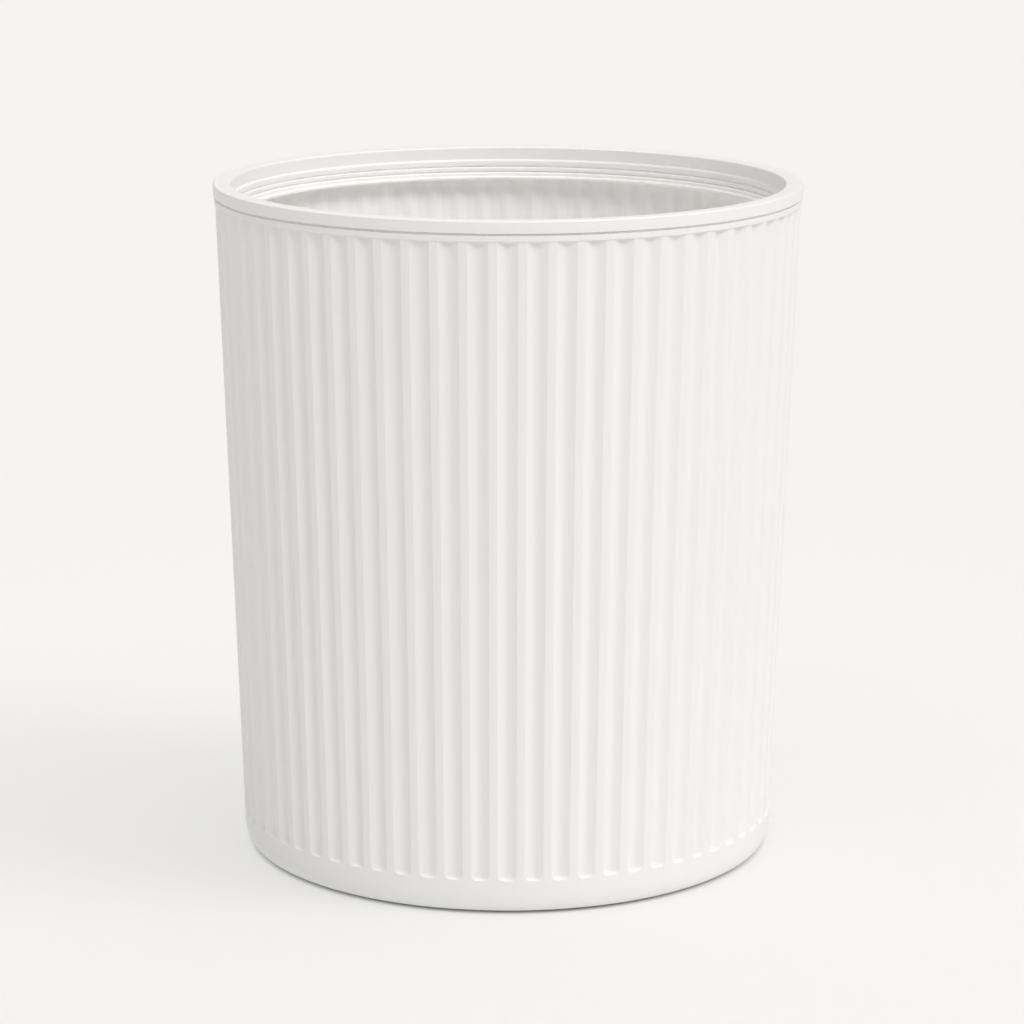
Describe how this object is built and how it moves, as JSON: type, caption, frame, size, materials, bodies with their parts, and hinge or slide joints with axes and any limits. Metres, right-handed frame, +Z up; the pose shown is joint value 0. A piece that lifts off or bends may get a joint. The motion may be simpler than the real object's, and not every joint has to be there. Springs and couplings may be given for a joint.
{
  "type": "wastebasket",
  "caption": "Round, slightly tapered fluted plastic wastebasket with a plain base band, a lift-off stepped liner ring on the rim and low non-slip pads underneath.",
  "frame": {"origin": "on the floor, on the basket's axis: the middle of the plane that the foot pads stand on", "axes": "+Z up along the basket's axis towards the mouth, -Y is the front with a flute centred on it, +X to the right"},
  "size_m": [0.26, 0.26, 0.3],
  "materials": {
    "basket_plastic": "fine satin moulded texture",
    "ring_plastic": "satin moulded, slightly smoother than the body",
    "pad_rubber": "matt"
  },
  "bodies": {
    "basket": {"basket_body": "basket_plastic", "foot_pad_1": "pad_rubber", "foot_pad_2": "pad_rubber", "foot_pad_3": "pad_rubber", "foot_pad_4": "pad_rubber"},
    "ring": {"liner_ring": "ring_plastic"}
  },
  "joints": [
    {"name": "ring_lift", "type": "slide", "parent": "basket", "child": "ring", "axis": [0, 0, 1], "range_m": [0, 0.06]}
  ]
}
